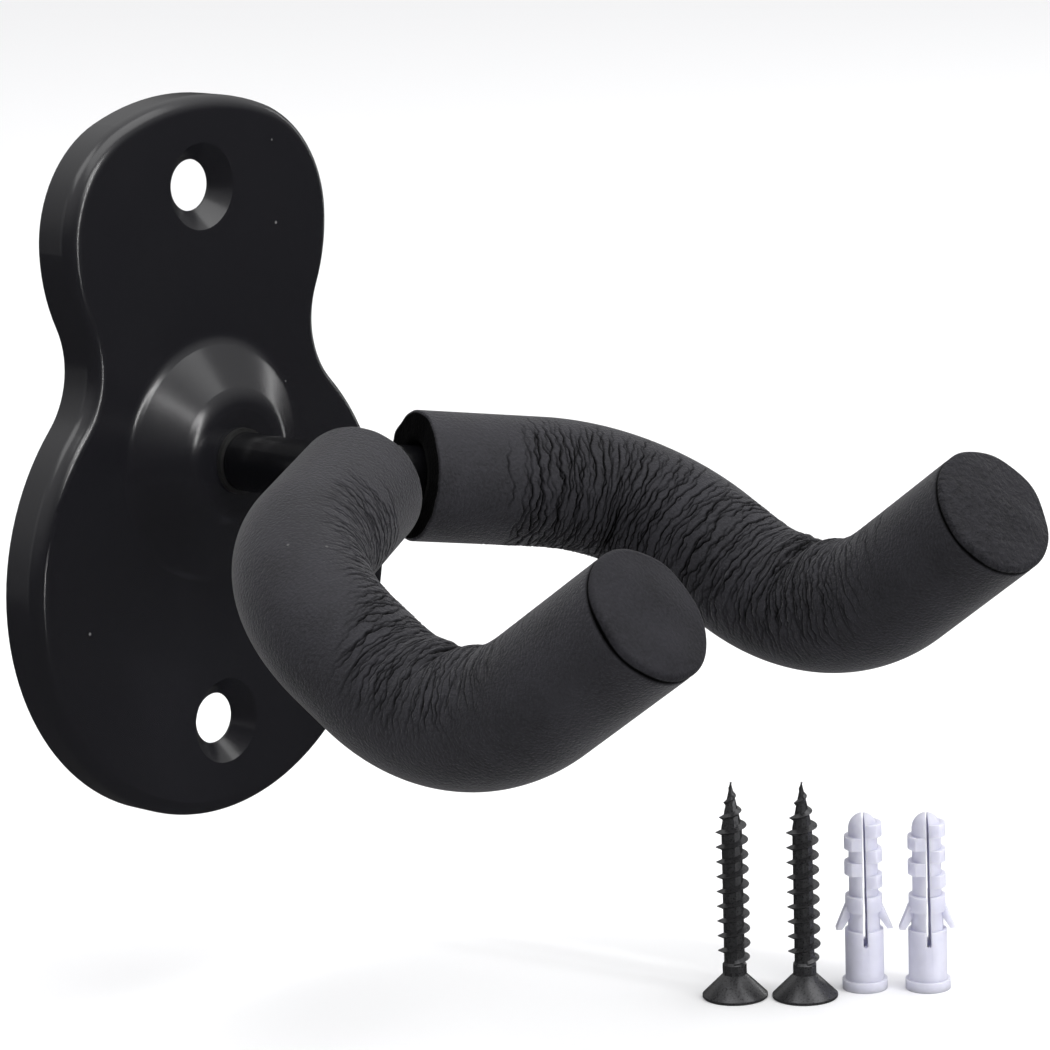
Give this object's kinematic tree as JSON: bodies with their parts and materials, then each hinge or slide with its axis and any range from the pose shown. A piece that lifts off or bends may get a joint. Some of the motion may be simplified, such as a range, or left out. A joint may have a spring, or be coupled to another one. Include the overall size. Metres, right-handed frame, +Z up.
{
  "type": "wall guitar hanger",
  "caption": "Wall hanger for a guitar: guitar-shaped steel back plate with a swivelling foam-covered yoke, and loose screws and wall plugs.",
  "frame": {"origin": "on the wall face, on the swivel axis, midway between the two screw holes", "axes": "+Z up, +Y into the wall, the yoke reaches out along -Y, +X to the right of someone facing the wall"},
  "size_m": [0.1054, 0.1167, 0.1251],
  "materials": {
    "black_enamel": "satin",
    "gloss_black_steel": "gloss",
    "zinc_steel": "satin",
    "dark_nylon": "satin",
    "nut_nylon": "satin",
    "black_foam": "matte",
    "cap_foam": "matte",
    "black_phosphate": "satin",
    "natural_nylon": "satin"
  },
  "bodies": {
    "wall_plate": {"back_plate": "black_enamel", "swivel_bush": "dark_nylon", "plain_washer": "zinc_steel", "spring_washer": "zinc_steel", "mounting_screw_1": "black_phosphate", "mounting_screw_2": "black_phosphate", "wall_plug_1": "natural_nylon", "wall_plug_2": "natural_nylon"},
    "yoke": {"swivel_shaft": "gloss_black_steel", "lock_nut": "zinc_steel", "lock_nut_insert": "nut_nylon", "yoke_rod": "gloss_black_steel", "weld_bead": "gloss_black_steel", "foam_sleeve_left": "black_foam", "foam_sleeve_right": "black_foam", "end_cap_left": "cap_foam", "end_cap_right": "cap_foam"}
  },
  "joints": [
    {"name": "yoke_swivel", "type": "hinge", "parent": "wall_plate", "child": "yoke", "pos_m": [0, -0.011, 0], "axis": [0, 1, 0], "continuous": true}
  ]
}
